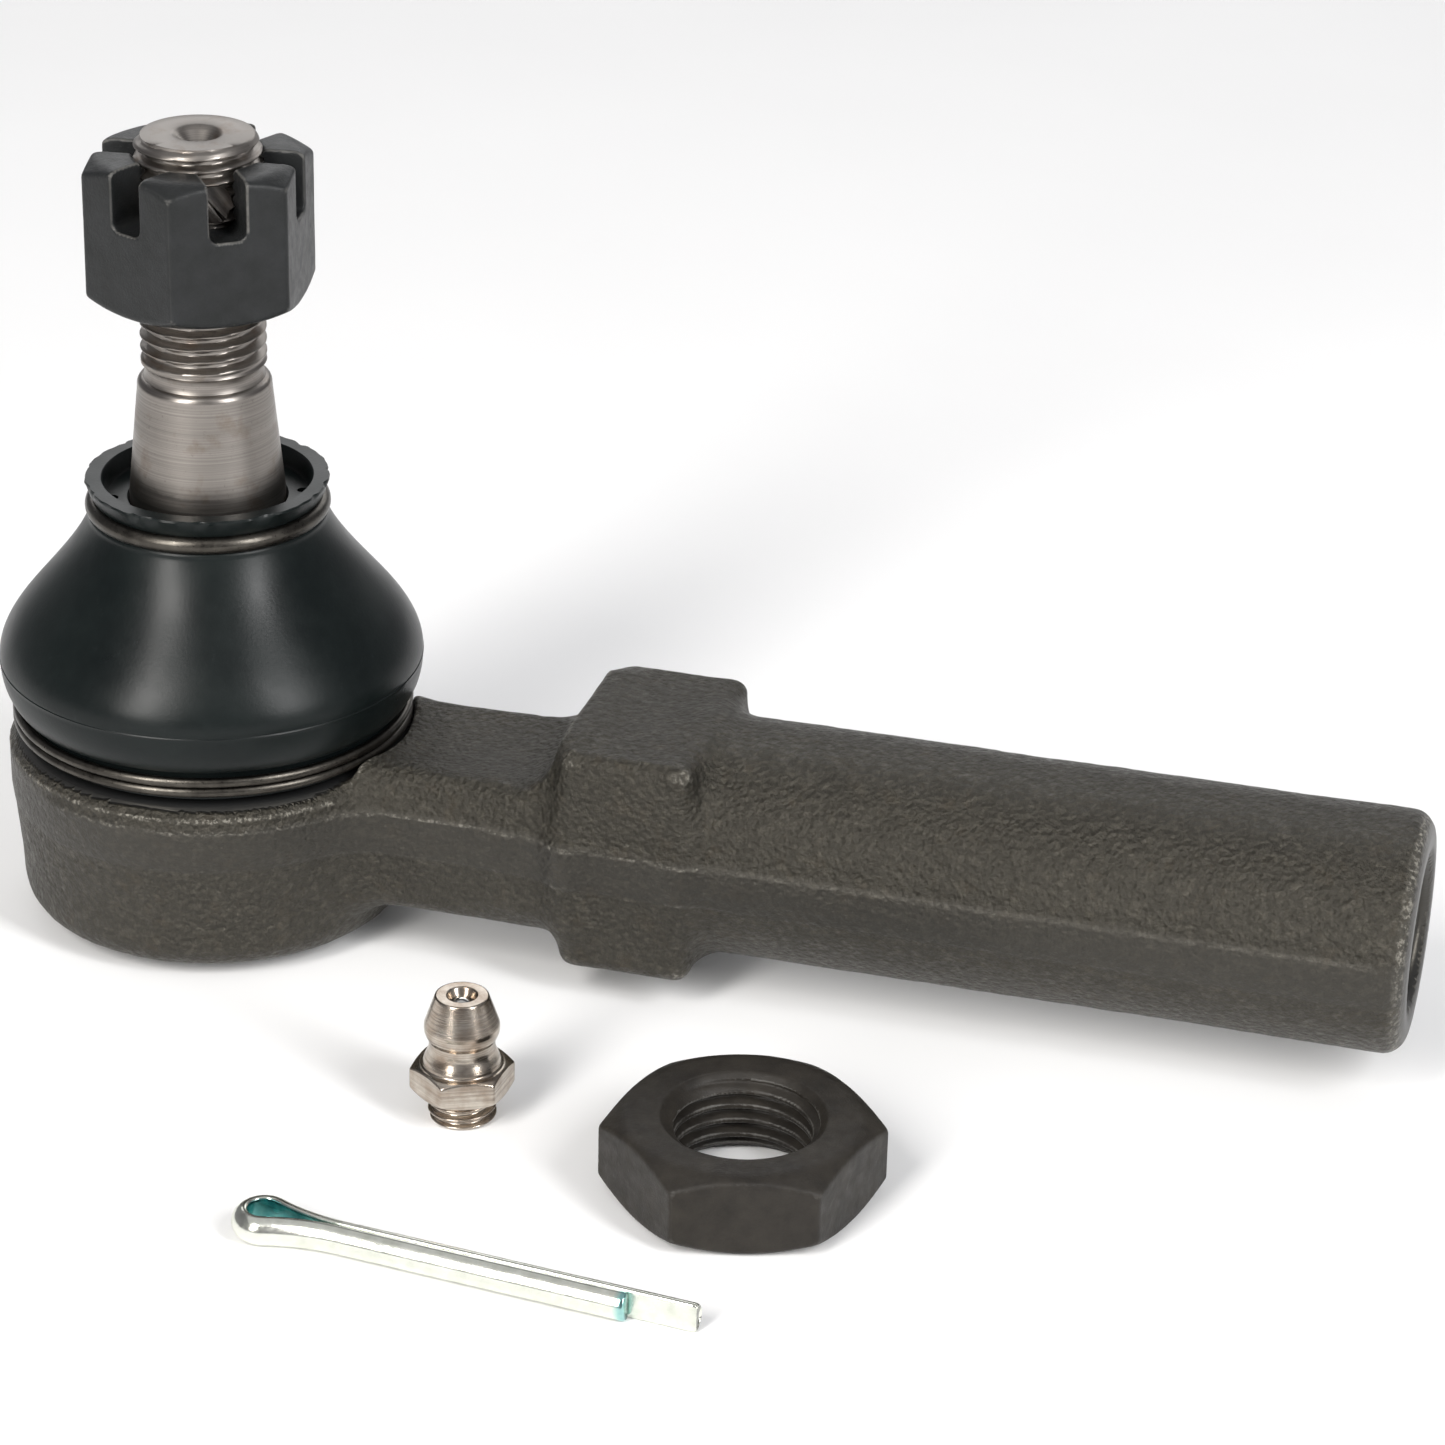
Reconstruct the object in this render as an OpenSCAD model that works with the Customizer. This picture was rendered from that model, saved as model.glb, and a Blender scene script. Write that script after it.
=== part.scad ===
// Outer tie rod end with a loose jam nut, grease fitting and cotter pin.
// Origin: the centre of the ball, where the stud axis crosses the sleeve axis.
// +Z runs up the stud, +X runs along the threaded sleeve to its open end.

/* [Sleeve] */
// Outside diameter of the threaded sleeve
sleeve_d = 23; // [21:0.5:26]
// Distance from the ball centre to the sleeve's end face
sleeve_end = 119.5; // [100:0.5:140]
// Depth of the blind threaded hole
rod_hole_depth = 66; // [40:1:66]
// Nominal diameter of the rod thread
rod_thread_d = 14; // [12:1:16]

/* [Wrench block and neck] */
// Where the wrench block starts along the sleeve axis
block_start = 38.7; // [37:0.1:42]
// Length of the wrench block
block_len = 13.1; // [10:0.1:16]
// Width of the neck between the socket and the block
neck_w = 18; // [15:0.5:20]
// Height of the neck's top above the sleeve axis
neck_top = 5.5; // [4.6:0.1:6]
// Depth of the neck's underside below the sleeve axis
neck_bottom = 9.2; // [8:0.1:10.5]

/* [Socket] */
// Largest radius of the ball socket
socket_r = 20.1; // [19.8:0.1:21.5]
// Depth of the socket's lowest face below the ball centre
socket_bottom = 15; // [14.6:0.1:16]
// Height of the machined shoulder under the boot
shoulder_z = 4.5; // [4.2:0.1:4.6]
// Radius of the boss that the boot is clipped to
boss_r = 17.2; // [16.8:0.1:17.4]
// Height of the boss's top face
boss_top = 8.2; // [7.8:0.1:8.6]

/* [Ball stud] */
// Diameter of the ball
ball_d = 21; // [20:0.1:21.2]
// Diameter of the neck between the ball and the taper
stud_neck_d = 11.2; // [10:0.1:11.6]
// Diameter of the taper's large end
taper_d = 15; // [14:0.1:15]
// Height where the taper starts
taper_start = 29; // [28:0.5:30]
// Length of the taper
taper_len = 11.5; // [10:0.5:12]
// Nominal diameter of the stud thread
stud_thread_d = 12; // [10:1:12]
// Height of the stud's top face
stud_top = 64.8; // [62:0.5:68]
// Diameter of the hole for the cotter pin
cotter_hole_d = 3.4; // [3:0.1:3.6]

/* [Castle nut] */
// Width across the castle nut's flats
castle_af = 19.5; // [18:0.5:20]
// Height of the castle nut's bearing face
castle_z = 48.8; // [45:0.1:50]
// Height of the castle nut
castle_h = 14.2; // [12:0.1:14.5]
// Width of each slot
castle_slot_w = 3.5; // [3:0.1:4]
// Depth of each slot from the top
castle_slot_depth = 5.7; // [5:0.1:7]

/* [Boot] */
// Largest radius of the rubber boot
boot_r = 20.6; // [20:0.1:21.5]
// Height of the boot's lip
boot_top = 30.4; // [30:0.1:31]
// Wall thickness of the boot
boot_wall = 1.9; // [1.4:0.1:2.2]

/* [Loose hardware] */
// Width across the jam nut's flats
jam_af = 22.6; // [21:0.1:24]
// Thickness of the jam nut
jam_h = 7.9; // [6:0.1:9]
// Overall height of the grease fitting
fitting_h = 12.7; // [12:0.1:13]
// Width across the grease fitting's hexagon
fitting_af = 8.5; // [8.2:0.1:9]
// Diameter of the grease fitting's thread
fitting_thread_d = 6.35; // [6:0.01:6.4]
// Diameter of the cotter pin, both legs together
cotter_d = 2.9; // [2.5:0.1:3.2]
// Overall length of the cotter pin, eye to long leg
cotter_len = 43.6; // [38:0.1:50]

/* [Hidden] */

$fn = 96;
eps = 0.01;

// Clearances
run_gap = 0.05;
ball_gap = 0.2;
fit_gap = 0.1;

// Housing
sleeve_r = sleeve_d / 2;
sleeve_edge = 2.5;
block_end = block_start + block_len;
block_corner = 3;
neck_corner = 2.4;
neck_dish_r = 60;
ramp_r = 8.5;
under_r = 2.2;
side_r = 2.4;
spot_face_r = 21.3;
spot_face_z = 3.4;
rod_hole_r = rod_thread_d / 2 + run_gap;
rod_chamfer = 0.85;
rod_point = 3.6;

// Ball joint
ball_r = ball_d / 2;
seat_r = ball_r + ball_gap;
bearing_r = 13.2;
cavity_r = bearing_r + fit_gap;
cover_r = 13.7;
cover_top = -12.6;
cover_t = 1.6;
cover_boss_r = 4.6;
cover_boss_top = -11.8;
rolled_lip_r = 12.3;
grease_port_r = fitting_thread_d / 2 + run_gap;
upper_bearing_bottom = 0.6;
upper_bearing_top = 7.2;
seat_edge_z = 5.6;
lower_bearing_bottom = -11.4;
spring_r = 12.4;
spring_inner_r = 5.4;
spring_t = 0.6;

// Stud
stud_r = stud_thread_d / 2;
taper_r = taper_d / 2;
taper_end = taper_start + taper_len;
taper_end_r = taper_r - taper_len / 10;
ball_flat_z = -9.6;
cotter_hole_z = 59.6;

// Castle nut, with the slots in line with the cotter hole
nut_corner_angle = 37.1;
slot_angle = nut_corner_angle + 30;
cotter_hole_angle = slot_angle + 60;
castle_rim_r = castle_af / 2 - 0.4;

// Boot rings
upper_ring_r = 11;
upper_ring_wire = 0.8;
upper_ring_z = 27.7;
lower_ring_wire = 0.5;
lower_ring_r = 19.1;
lower_ring_z = 5.75;

// Loose hardware, which stands on the plane that the socket rests on
floor_z = -socket_bottom;
jam_pos = [64.9, -38.8];
jam_angle = 15.8;
fitting_pos = [36.9, -34];
fitting_angle = 25;
cotter_pos = [23.8, -58.2];
cotter_angle = -5.5;
cotter_short = 37.4;
cotter_eye_w = 5.8;
cotter_gap = 0.16;
check_ball_r = 1.25;
check_bore_r = 1.5;
check_seat_z = fitting_h - 1.2;
check_spring_r = 1.15;
check_spring_z = 4.2;

// Points on an arc, from angle a to angle b
function arc(c, r, a, b, n = 6) =
    [for (i = [0:n]) let (t = a + (b - a) * i / n) [c[0] + r * cos(t), c[1] + r * sin(t)]];

// A point on a cubic curve, and n + 1 points along it
function cubic_at(p, t) =
    pow(1 - t, 3) * p[0] + 3 * t * pow(1 - t, 2) * p[1] + 3 * t * t * (1 - t) * p[2]
    + pow(t, 3) * p[3];
function cubic(p, n = 8) = [for (i = [0:n]) cubic_at(p, i / n)];

// A rectangle from a to b whose corners have radius r
module rounded_rect(a, b, r) {
    translate([a[0] + r, a[1]]) square([b[0] - a[0] - 2 * r, b[1] - a[1]]);
    translate([a[0], a[1] + r]) square([b[0] - a[0], b[1] - a[1] - 2 * r]);
    for (x = [a[0] + r, b[0] - r], y = [a[1] + r, b[1] - r])
        translate([x, y]) circle(r, $fn = 32);
}

// Extrudes a section drawn as (y, z) along the X axis
module along_x(x0, x1) {
    translate([x0, 0, 0]) rotate([90, 0, 90]) linear_extrude(x1 - x0) children();
}

// A cylinder or cone along the X axis
module rod_x(x0, x1, r0, r1) {
    translate([x0, 0, 0]) rotate([0, 90, 0]) cylinder(h = x1 - x0, r1 = r0, r2 = r1);
}

// A hexagonal prism whose corners are cut back by 30 degree cones
module chamfered_hex(af, h, low_rim, high_rim, angle) {
    corner_r = af / sqrt(3);
    intersection() {
        rotate([0, 0, angle]) cylinder(h = h, r = corner_r, $fn = 6);
        rotate_extrude() polygon([
            [0, 0], [low_rim, 0], [corner_r + 1, (corner_r + 1 - low_rim) * tan(30)],
            [corner_r + 1, h - (corner_r + 1 - high_rim) * tan(30)], [high_rim, h], [0, h]]);
    }
}

module socket_body() {
    r = socket_r;
    z = -socket_bottom;
    rotate_extrude() polygon(concat(
        [[0, z], [14.4, z], [14.9, z + 0.5], [15, z + 0.9], [16.2, z + 1]],
        arc([16.2, z + 4], 3, -80, -8),
        [[r - 0.7, -8], [r, -1], [r, 3.1], [r - 1.4, shoulder_z], [boss_r, shoulder_z],
         [boss_r, boss_top - 0.4], [boss_r - 0.4, boss_top], [0, boss_top]]));
}

// The bridge between the socket and the wrench block, cut back around the boot
module neck() {
    reach = block_start - ramp_r;
    fillet_r = 6;
    fillet_x = sqrt(pow(socket_r + fillet_r, 2) - pow(neck_w / 2 + fillet_r, 2));
    fillet_y = (neck_w / 2 + fillet_r) * socket_r / (socket_r + fillet_r);
    difference() {
        union() {
            along_x(0, block_start + 1) rounded_rect(
                [-neck_w / 2, -neck_bottom], [neck_w / 2, neck_top + 0.4], neck_corner);
            for (side = [-1, 1]) difference() {
                translate([10, side > 0 ? 0 : -fillet_y, -neck_bottom + 1])
                    cube([fillet_x - 10, fillet_y, neck_bottom + neck_top - 2.5]);
                translate([fillet_x, side * (neck_w / 2 + fillet_r), -20])
                    cylinder(h = 40, r = fillet_r);
            }
        }
        translate([-1, 0, neck_top + neck_dish_r]) rotate([0, 90, 0])
            cylinder(h = block_start + 3, r = neck_dish_r);
        translate([0, 0, spot_face_z]) cylinder(h = 6, r = spot_face_r);
    }
    // Concave ramps up to the block's top, bottom and sides
    difference() {
        translate([reach, -neck_w / 2 - 0.2, 0]) cube([ramp_r + 1, neck_w + 0.4, sleeve_r - 0.3]);
        translate([reach, 0, neck_top + ramp_r]) rotate([90, 0, 0])
            cylinder(h = neck_w + 2, r = ramp_r, center = true);
    }
    difference() {
        translate([block_start - under_r, -neck_w / 2 + 2.4, -sleeve_r + 0.2])
            cube([under_r + 1, neck_w - 4.8, 5]);
        translate([block_start - under_r, 0, -neck_bottom - under_r]) rotate([90, 0, 0])
            cylinder(h = neck_w + 2, r = under_r, center = true);
    }
    for (side = [-1, 1]) difference() {
        translate([block_start - side_r, side > 0 ? 0 : -sleeve_r + 0.2, -neck_bottom + 2.6])
            cube([side_r + 1, sleeve_r - 0.2, neck_bottom + neck_top - 5]);
        translate([block_start - side_r, side * (neck_w / 2 + side_r), -20])
            cylinder(h = 40, r = side_r);
    }
}

module wrench_block() {
    h = sleeve_r;
    along_x(block_start, block_end) rounded_rect([-h, -h], [h, h], block_corner);
    intersection() {
        along_x(block_end - 1, block_end + 5) rounded_rect([-h, -h], [h, h], block_corner);
        rod_x(block_end, block_end + 4.5, h * sqrt(2) - 1.2, h);
    }
}

module sleeve() {
    rotate([0, 90, 0]) rotate_extrude() polygon(concat(
        [[0, block_end - 1], [sleeve_r, block_end - 1]],
        arc([sleeve_r - sleeve_edge, sleeve_end - sleeve_edge], sleeve_edge, 0, 90, 5),
        [[0, sleeve_end]]));
}

// Room for the bearings, the spring, the cover plate and the stud's neck
module ball_cavity() {
    cover_bottom = cover_top - cover_t;
    sphere(r = cavity_r);
    translate([0, 0, cover_bottom]) cylinder(h = -cover_bottom, r = cavity_r);
    translate([0, 0, cover_bottom]) cylinder(h = cover_t, r = cover_r + run_gap);
    translate([0, 0, -socket_bottom - 1]) cylinder(h = socket_bottom, r = rolled_lip_r);
}

module rod_hole() {
    bottom = sleeve_end - rod_hole_depth;
    rod_x(bottom, sleeve_end + 1, rod_hole_r, rod_hole_r);
    rod_x(bottom - rod_point, bottom, eps, rod_hole_r);
    rod_x(sleeve_end - rod_chamfer, sleeve_end + eps, rod_hole_r, rod_hole_r + rod_chamfer);
}

module housing() {
    color([0.23, 0.22, 0.2]) difference() {
        union() {
            socket_body();
            neck();
            wrench_block();
            sleeve();
        }
        ball_cavity();
        rod_hole();
    }
}

module ball_stud() {
    neck_r = stud_neck_d / 2;
    relief_r = stud_r - 0.35;
    color([0.6, 0.57, 0.54]) difference() {
        union() {
            difference() {
                sphere(r = ball_r);
                translate([0, 0, ball_flat_z - 5]) cylinder(h = 5, r = ball_r);
            }
            rotate_extrude() polygon([
                [0, 0], [neck_r, 0], [neck_r, 14], [taper_r, 18.2], [taper_r, taper_start],
                [taper_end_r, taper_end], [relief_r, taper_end + 0.8],
                [relief_r, taper_end + 1.5], [stud_r, taper_end + 1.85],
                [stud_r, stud_top - 0.9], [stud_r - 0.7, stud_top], [0, stud_top]]);
        }
        translate([0, 0, stud_top - 1.8]) cylinder(h = 1.8 + eps, r1 = 0.3, r2 = 2.2);
        translate([0, 0, cotter_hole_z]) rotate([0, 90, cotter_hole_angle])
            cylinder(h = 2 * stud_r + 2, r = cotter_hole_d / 2, center = true);
    }
}

module upper_bearing() {
    flare = upper_bearing_top - seat_edge_z;
    edge_r = sqrt(seat_r * seat_r - seat_edge_z * seat_edge_z);
    color([0.85, 0.83, 0.76]) difference() {
        intersection() {
            sphere(r = bearing_r);
            translate([0, 0, upper_bearing_bottom])
                cylinder(h = upper_bearing_top - upper_bearing_bottom, r = bearing_r + 1);
        }
        sphere(r = seat_r);
        translate([0, 0, seat_edge_z])
            cylinder(h = flare + eps, r1 = edge_r, r2 = edge_r + flare);
    }
}

module lower_bearing() {
    color([0.8, 0.78, 0.7]) difference() {
        translate([0, 0, lower_bearing_bottom])
            cylinder(h = -lower_bearing_bottom - 0.6, r = bearing_r);
        sphere(r = seat_r);
        translate([0, 0, lower_bearing_bottom - 1]) cylinder(h = 5, r = 2);
    }
}

// A disc spring, coned so that its inner edge pushes up on the lower bearing
module preload_spring() {
    top = lower_bearing_bottom - 0.02;
    foot = cover_top + 0.02;
    color([0.35, 0.35, 0.36]) rotate_extrude() polygon([
        [spring_inner_r, top - spring_t], [spring_inner_r, top],
        [spring_r, foot + spring_t], [spring_r, foot]]);
}

module cover_plate() {
    bottom = cover_top - cover_t;
    color([0.32, 0.31, 0.29]) difference() {
        union() {
            translate([0, 0, bottom]) cylinder(h = cover_t, r = cover_r);
            translate([0, 0, bottom]) cylinder(h = cover_boss_top - bottom, r = cover_boss_r);
        }
        translate([0, 0, bottom - 1]) cylinder(h = 5, r = grease_port_r);
    }
}

module dust_boot() {
    bead_r = boss_r + run_gap;
    wide_z = 12;
    neck_r = 10.15;
    lip_r = 11.64;
    grip_r = taper_r + run_gap;
    inner_r = boot_r - boot_wall;
    color([0.09, 0.1, 0.1]) rotate_extrude() polygon(concat(
        [[bead_r, 4.6], [lower_ring_r - lower_ring_wire - run_gap, 4.6],
         [lower_ring_r - lower_ring_wire - run_gap, 7.45]],
        cubic([[19.3, 7.8], [boot_r - 0.5, 8.8], [boot_r, 10.2], [boot_r, wide_z]], 5),
        cubic([[boot_r, wide_z], [boot_r, 13.6], [boot_r - 0.7, 14.9], [19, 16.2]], 4),
        cubic([[19, 16.2], [17, 19], [12.9, 23], [11.6, 26.8]], 8),
        [[neck_r, 26.85], [neck_r, 28.55], [11.1, 28.6], [lip_r, boot_top - 0.3],
         [lip_r - 0.2, boot_top], [10.1, boot_top], [9.9, boot_top - 2],
         [grip_r, boot_top - 2], [grip_r, 24.6]],
        cubic([[9.6, 24.2], [11.2, 21.5], [15.3, 16.9], [inner_r, wide_z - 0.5]], 6),
        cubic([[inner_r, wide_z - 0.5], [inner_r + 0.3, 11], [inner_r, 9.8], [17.7, 9]], 4),
        [[bead_r, 8.5]]));
}

module wire_ring(radius, wire, z) {
    translate([0, 0, z]) rotate_extrude() translate([radius, 0]) circle(r = wire, $fn = 32);
}

module boot_upper_ring() {
    color([0.3, 0.28, 0.25]) wire_ring(upper_ring_r, upper_ring_wire, upper_ring_z);
}

// Two turns of round wire around the boot's bead
module boot_lower_ring() {
    pitch = 2 * lower_ring_wire + 0.04;
    color([0.3, 0.28, 0.25]) for (i = [0, 1])
        wire_ring(lower_ring_r, lower_ring_wire, lower_ring_z + i * pitch);
}

module castle_nut() {
    bore_r = stud_r + run_gap;
    entry = 0.6;
    color([0.2, 0.2, 0.21]) translate([0, 0, castle_z]) difference() {
        chamfered_hex(castle_af, castle_h, castle_rim_r, castle_rim_r, nut_corner_angle);
        translate([0, 0, -1]) cylinder(h = castle_h + 2, r = bore_r);
        translate([0, 0, -eps]) cylinder(h = entry, r1 = bore_r + entry, r2 = bore_r);
        for (i = [0:2]) rotate([0, 0, slot_angle + 60 * i])
            translate([-castle_af, -castle_slot_w / 2, castle_h - castle_slot_depth])
                cube([2 * castle_af, castle_slot_w, castle_h]);
    }
}

module jam_nut() {
    entry = 0.55;
    color([0.24, 0.22, 0.2]) translate([jam_pos[0], jam_pos[1], floor_z]) difference() {
        chamfered_hex(jam_af, jam_h, jam_af / 2 - 0.7, jam_af / 2 - 0.7, jam_angle);
        translate([0, 0, -1]) cylinder(h = jam_h + 2, r = rod_hole_r);
        translate([0, 0, -eps]) cylinder(h = entry, r1 = rod_hole_r + entry, r2 = rod_hole_r);
        translate([0, 0, jam_h - entry + eps])
            cylinder(h = entry, r1 = rod_hole_r, r2 = rod_hole_r + entry);
    }
}

// Places a piece of the grease fitting, which stands on its thread
module at_fitting() {
    translate([fitting_pos[0], fitting_pos[1], floor_z]) children();
}

module grease_fitting_body() {
    thread_r = fitting_thread_d / 2;
    hex_z = 2.9;
    hex_h = 2.8;
    lip_z = check_seat_z + 0.4;
    h = fitting_h;
    color([0.72, 0.69, 0.66]) at_fitting() difference() {
        union() {
            rotate_extrude() polygon([
                [0, 0], [thread_r - 0.4, 0], [thread_r, 0.4], [thread_r, hex_z],
                [3.6, hex_z], [3.6, 6.2], [3.05, 7.2], [3.05, 8.2], [3.5, 9.2], [3.5, 9.9],
                [2.5, h - 0.25], [2.5, h], [0, h]]);
            translate([0, 0, hex_z]) chamfered_hex(
                fitting_af, hex_h, fitting_af / 2 - 0.1, fitting_af / 2 - 0.1, fitting_angle);
        }
        translate([0, 0, -1]) cylinder(h = 8, r = 0.8);
        translate([0, 0, check_spring_z])
            cylinder(h = check_seat_z - 0.3 - check_spring_z, r = check_bore_r);
        translate([0, 0, check_seat_z - 0.3 - eps])
            cylinder(h = lip_z - check_seat_z + 0.3 + eps, r1 = check_bore_r, r2 = 1);
        translate([0, 0, lip_z - eps]) cylinder(h = h - lip_z + 2 * eps, r1 = 1, r2 = 1.5);
    }
}

module grease_check_ball() {
    color([0.75, 0.74, 0.72]) at_fitting() translate([0, 0, check_seat_z - 0.4])
        sphere(r = check_ball_r);
}

// A coil spring's outer shape: its ends rest on the bore's floor and under the ball
module grease_check_spring() {
    top = check_seat_z - 0.4 - check_ball_r;
    color([0.6, 0.6, 0.6]) at_fitting() translate([0, 0, check_spring_z + 0.02]) difference() {
        cylinder(h = top - check_spring_z - 0.04, r = check_spring_r);
        translate([0, 0, -1]) cylinder(h = 10, r = check_spring_r - 0.35);
    }
}

// Half of a round wire: the flat face is at x = 0 and the round side is at x > 0
module half_round() {
    intersection() {
        circle(r = cotter_d / 2, $fn = 32);
        translate([0, -cotter_d]) square([cotter_d, 2 * cotter_d]);
    }
}

// One leg of the cotter pin, with its half of the eye. The eye's end is at x = 0.
module cotter_leg(length) {
    eye_r = cotter_eye_w / 2 - cotter_d / 2;
    eye_x = cotter_eye_w / 2;
    bend_r = 20;
    flat_y = cotter_gap / 2;
    bend_x = eye_x + sqrt(pow(eye_r + bend_r, 2) - pow(flat_y + bend_r, 2));
    bend_a = atan2(flat_y + bend_r, bend_x - eye_x);
    translate([eye_x, 0, 0]) rotate([0, 0, bend_a])
        rotate_extrude(angle = 180 - bend_a) translate([eye_r, 0]) half_round();
    translate([bend_x, flat_y + bend_r, 0]) rotate([0, 0, 180 + bend_a])
        rotate_extrude(angle = 90 - bend_a) translate([bend_r, 0]) mirror([1, 0]) half_round();
    translate([bend_x, flat_y, 0]) rotate([90, 0, 90])
        linear_extrude(length - bend_x) half_round();
}

module cotter_pin() {
    color([0.82, 0.85, 0.82])
        translate([cotter_pos[0], cotter_pos[1], floor_z + cotter_d / 2])
        rotate([0, 0, cotter_angle]) {
            cotter_leg(cotter_len);
            mirror([0, 1, 0]) cotter_leg(cotter_short);
        }
}

housing();
ball_stud();
upper_bearing();
lower_bearing();
preload_spring();
cover_plate();
dust_boot();
boot_upper_ring();
boot_lower_ring();
castle_nut();
cotter_pin();
jam_nut();
grease_fitting_body();
grease_check_ball();
grease_check_spring();
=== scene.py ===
"""A tie rod end with its castle nut on, and a jam nut, a grease fitting and a cotter pin beside it.

Lengths in this script are in millimetres until new_piece() turns them into metres. The frame's
origin is the ball's centre, +Z runs up the stud and +X runs along the threaded sleeve.
"""

import itertools
import math

import bmesh
import bpy
import numpy as np
from mathutils import Matrix, Vector


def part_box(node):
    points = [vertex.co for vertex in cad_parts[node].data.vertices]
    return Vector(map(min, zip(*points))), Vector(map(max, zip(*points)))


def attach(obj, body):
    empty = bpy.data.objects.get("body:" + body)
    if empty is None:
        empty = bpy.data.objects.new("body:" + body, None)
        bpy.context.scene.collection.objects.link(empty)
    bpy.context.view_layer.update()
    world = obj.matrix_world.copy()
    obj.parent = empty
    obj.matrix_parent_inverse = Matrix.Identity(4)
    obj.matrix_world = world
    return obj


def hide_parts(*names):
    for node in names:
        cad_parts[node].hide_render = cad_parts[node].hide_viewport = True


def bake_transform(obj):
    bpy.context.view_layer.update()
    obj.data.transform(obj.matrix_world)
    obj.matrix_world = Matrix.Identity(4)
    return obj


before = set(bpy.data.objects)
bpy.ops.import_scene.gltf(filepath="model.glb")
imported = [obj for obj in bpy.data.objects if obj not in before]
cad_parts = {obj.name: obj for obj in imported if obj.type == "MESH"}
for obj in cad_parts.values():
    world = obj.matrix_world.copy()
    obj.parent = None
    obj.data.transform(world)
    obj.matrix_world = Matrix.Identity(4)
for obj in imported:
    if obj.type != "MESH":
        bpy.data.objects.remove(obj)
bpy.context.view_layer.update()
MM = 0.001


def box_mm(node):
    """Lowest and highest corner of a CAD node in millimetres."""
    low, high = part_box(node)
    return np.array(low) / MM, np.array(high) / MM


# ---------------------------------------------------------------- sizes

# From the boxes of the CAD nodes.
HOUSING_LOW, HOUSING_HIGH = box_mm("housing")
SLEEVE_END = HOUSING_HIGH[0]
SLEEVE_R = HOUSING_HIGH[2]
SOCKET_R = -HOUSING_LOW[0]
FLOOR_Z = HOUSING_LOW[2]
STUD_TOP = box_mm("ball_stud")[1][2]
BOOT_TOP = box_mm("dust_boot")[1][2]
CASTLE_LOW, CASTLE_HIGH = box_mm("castle_nut")
JAM_LOW, JAM_HIGH = box_mm("jam_nut")
FITTING_LOW, FITTING_HIGH = box_mm("grease_fitting_body")
PIN_LOW, PIN_HIGH = box_mm("cotter_pin")
RING_LOW, RING_HIGH = box_mm("boot_upper_ring")
BEAD_LOW, BEAD_HIGH = box_mm("boot_lower_ring")
COVER_LOW, COVER_HIGH = box_mm("cover_plate")

# The part's own, where no box gives them.
SHOULDER_Z = 4.5
SHOULDER_R = 19.6
BOSS_R = 17.2
BOSS_TOP = 8.2
BLOCK_START = 38.7
BLOCK_END = 51.8
NECK_HALF = 9.0
NECK_TOP = 5.5
NECK_BOTTOM = -9.2
CAVITY_R = 13.3
COVER_SEAT_R = 13.75
COVER_THICKNESS = 1.6
MOUTH_R = 12.3
ROD_HOLE_R = 7.05
ROD_HOLE_BOTTOM = SLEEVE_END - 66
TAPER_R = 7.5
TAPER_START = 29.0
TAPER_END = 40.5
STUD_THREAD_R = 6.0
STUD_PITCH = 1.25
ROD_PITCH = 1.5
CASTLE_AF = 19.5
NUT_CORNER_ANGLE = math.radians(37.1)
SLOT_ANGLE = NUT_CORNER_ANGLE + math.pi / 6
COTTER_HOLE_ANGLE = SLOT_ANGLE + math.pi / 3
COTTER_HOLE_R = 1.7
COTTER_HOLE_Z = 59.6
JAM_AF = 22.6
JAM_ANGLE = math.radians(15.8)
FITTING_AF = 8.5
FITTING_ANGLE = math.radians(25)
FITTING_PITCH = 0.907
COTTER_ANGLE = math.radians(-5.5)
COTTER_PLACE = (23.8, -58.2)
COTTER_LONG_LEG = 43.6
COTTER_SHORT_LEG = 37.4


# ---------------------------------------------------------------- distance fields and meshes


def smooth_min(a, b, k):
    h = np.clip(0.5 + 0.5 * (b - a) / k, 0, 1)
    return b + (a - b) * h - k * h * (1 - h)


def smooth_max(a, b, k):
    return -smooth_min(-a, -b, k)


def smooth_step(low, high, x):
    t = np.clip((x - low) / (high - low), 0, 1)
    return t * t * (3 - 2 * t)


def rounded_rect(x, y, half_x, half_y, r):
    qx = np.abs(x) - half_x + r
    qy = np.abs(y) - half_y + r
    outside = np.hypot(np.maximum(qx, 0), np.maximum(qy, 0))
    return outside + np.minimum(np.maximum(qx, qy), 0) - r


def polygon_field(points, x, y):
    """Signed distance to a closed outline."""
    best = np.full(x.shape, 1e9)
    sign = np.ones(x.shape)
    for (ax, ay), (bx, by) in zip(points, points[1:] + points[:1]):
        ex, ey = bx - ax, by - ay
        wx, wy = x - ax, y - ay
        t = np.clip((wx * ex + wy * ey) / (ex * ex + ey * ey), 0, 1)
        best = np.minimum(best, (wx - ex * t) ** 2 + (wy - ey * t) ** 2)
        over, under = ay <= y, by > y
        left = ex * wy > ey * wx
        flip = (over & under & left) | (~over & ~under & ~left)
        sign = np.where(flip, -sign, sign)
    return sign * np.sqrt(best)


def arc_points(cx, cy, r, start, end, count):
    """Points on an arc, with its angles in degrees."""
    angles = np.radians(np.linspace(start, end, count))
    return [(cx + r * math.cos(a), cy + r * math.sin(a)) for a in angles]


def cubic_points(p0, p1, p2, p3, count):
    t = np.linspace(0, 1, count)[:, None]
    p0, p1, p2, p3 = (np.array(p) for p in (p0, p1, p2, p3))
    curve = (1 - t) ** 3 * p0 + 3 * t * (1 - t) ** 2 * p1 + 3 * t * t * (1 - t) * p2 + t**3 * p3
    return [tuple(p) for p in curve]


NOISE_CELLS = 32
_noise_tables = {}


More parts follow.
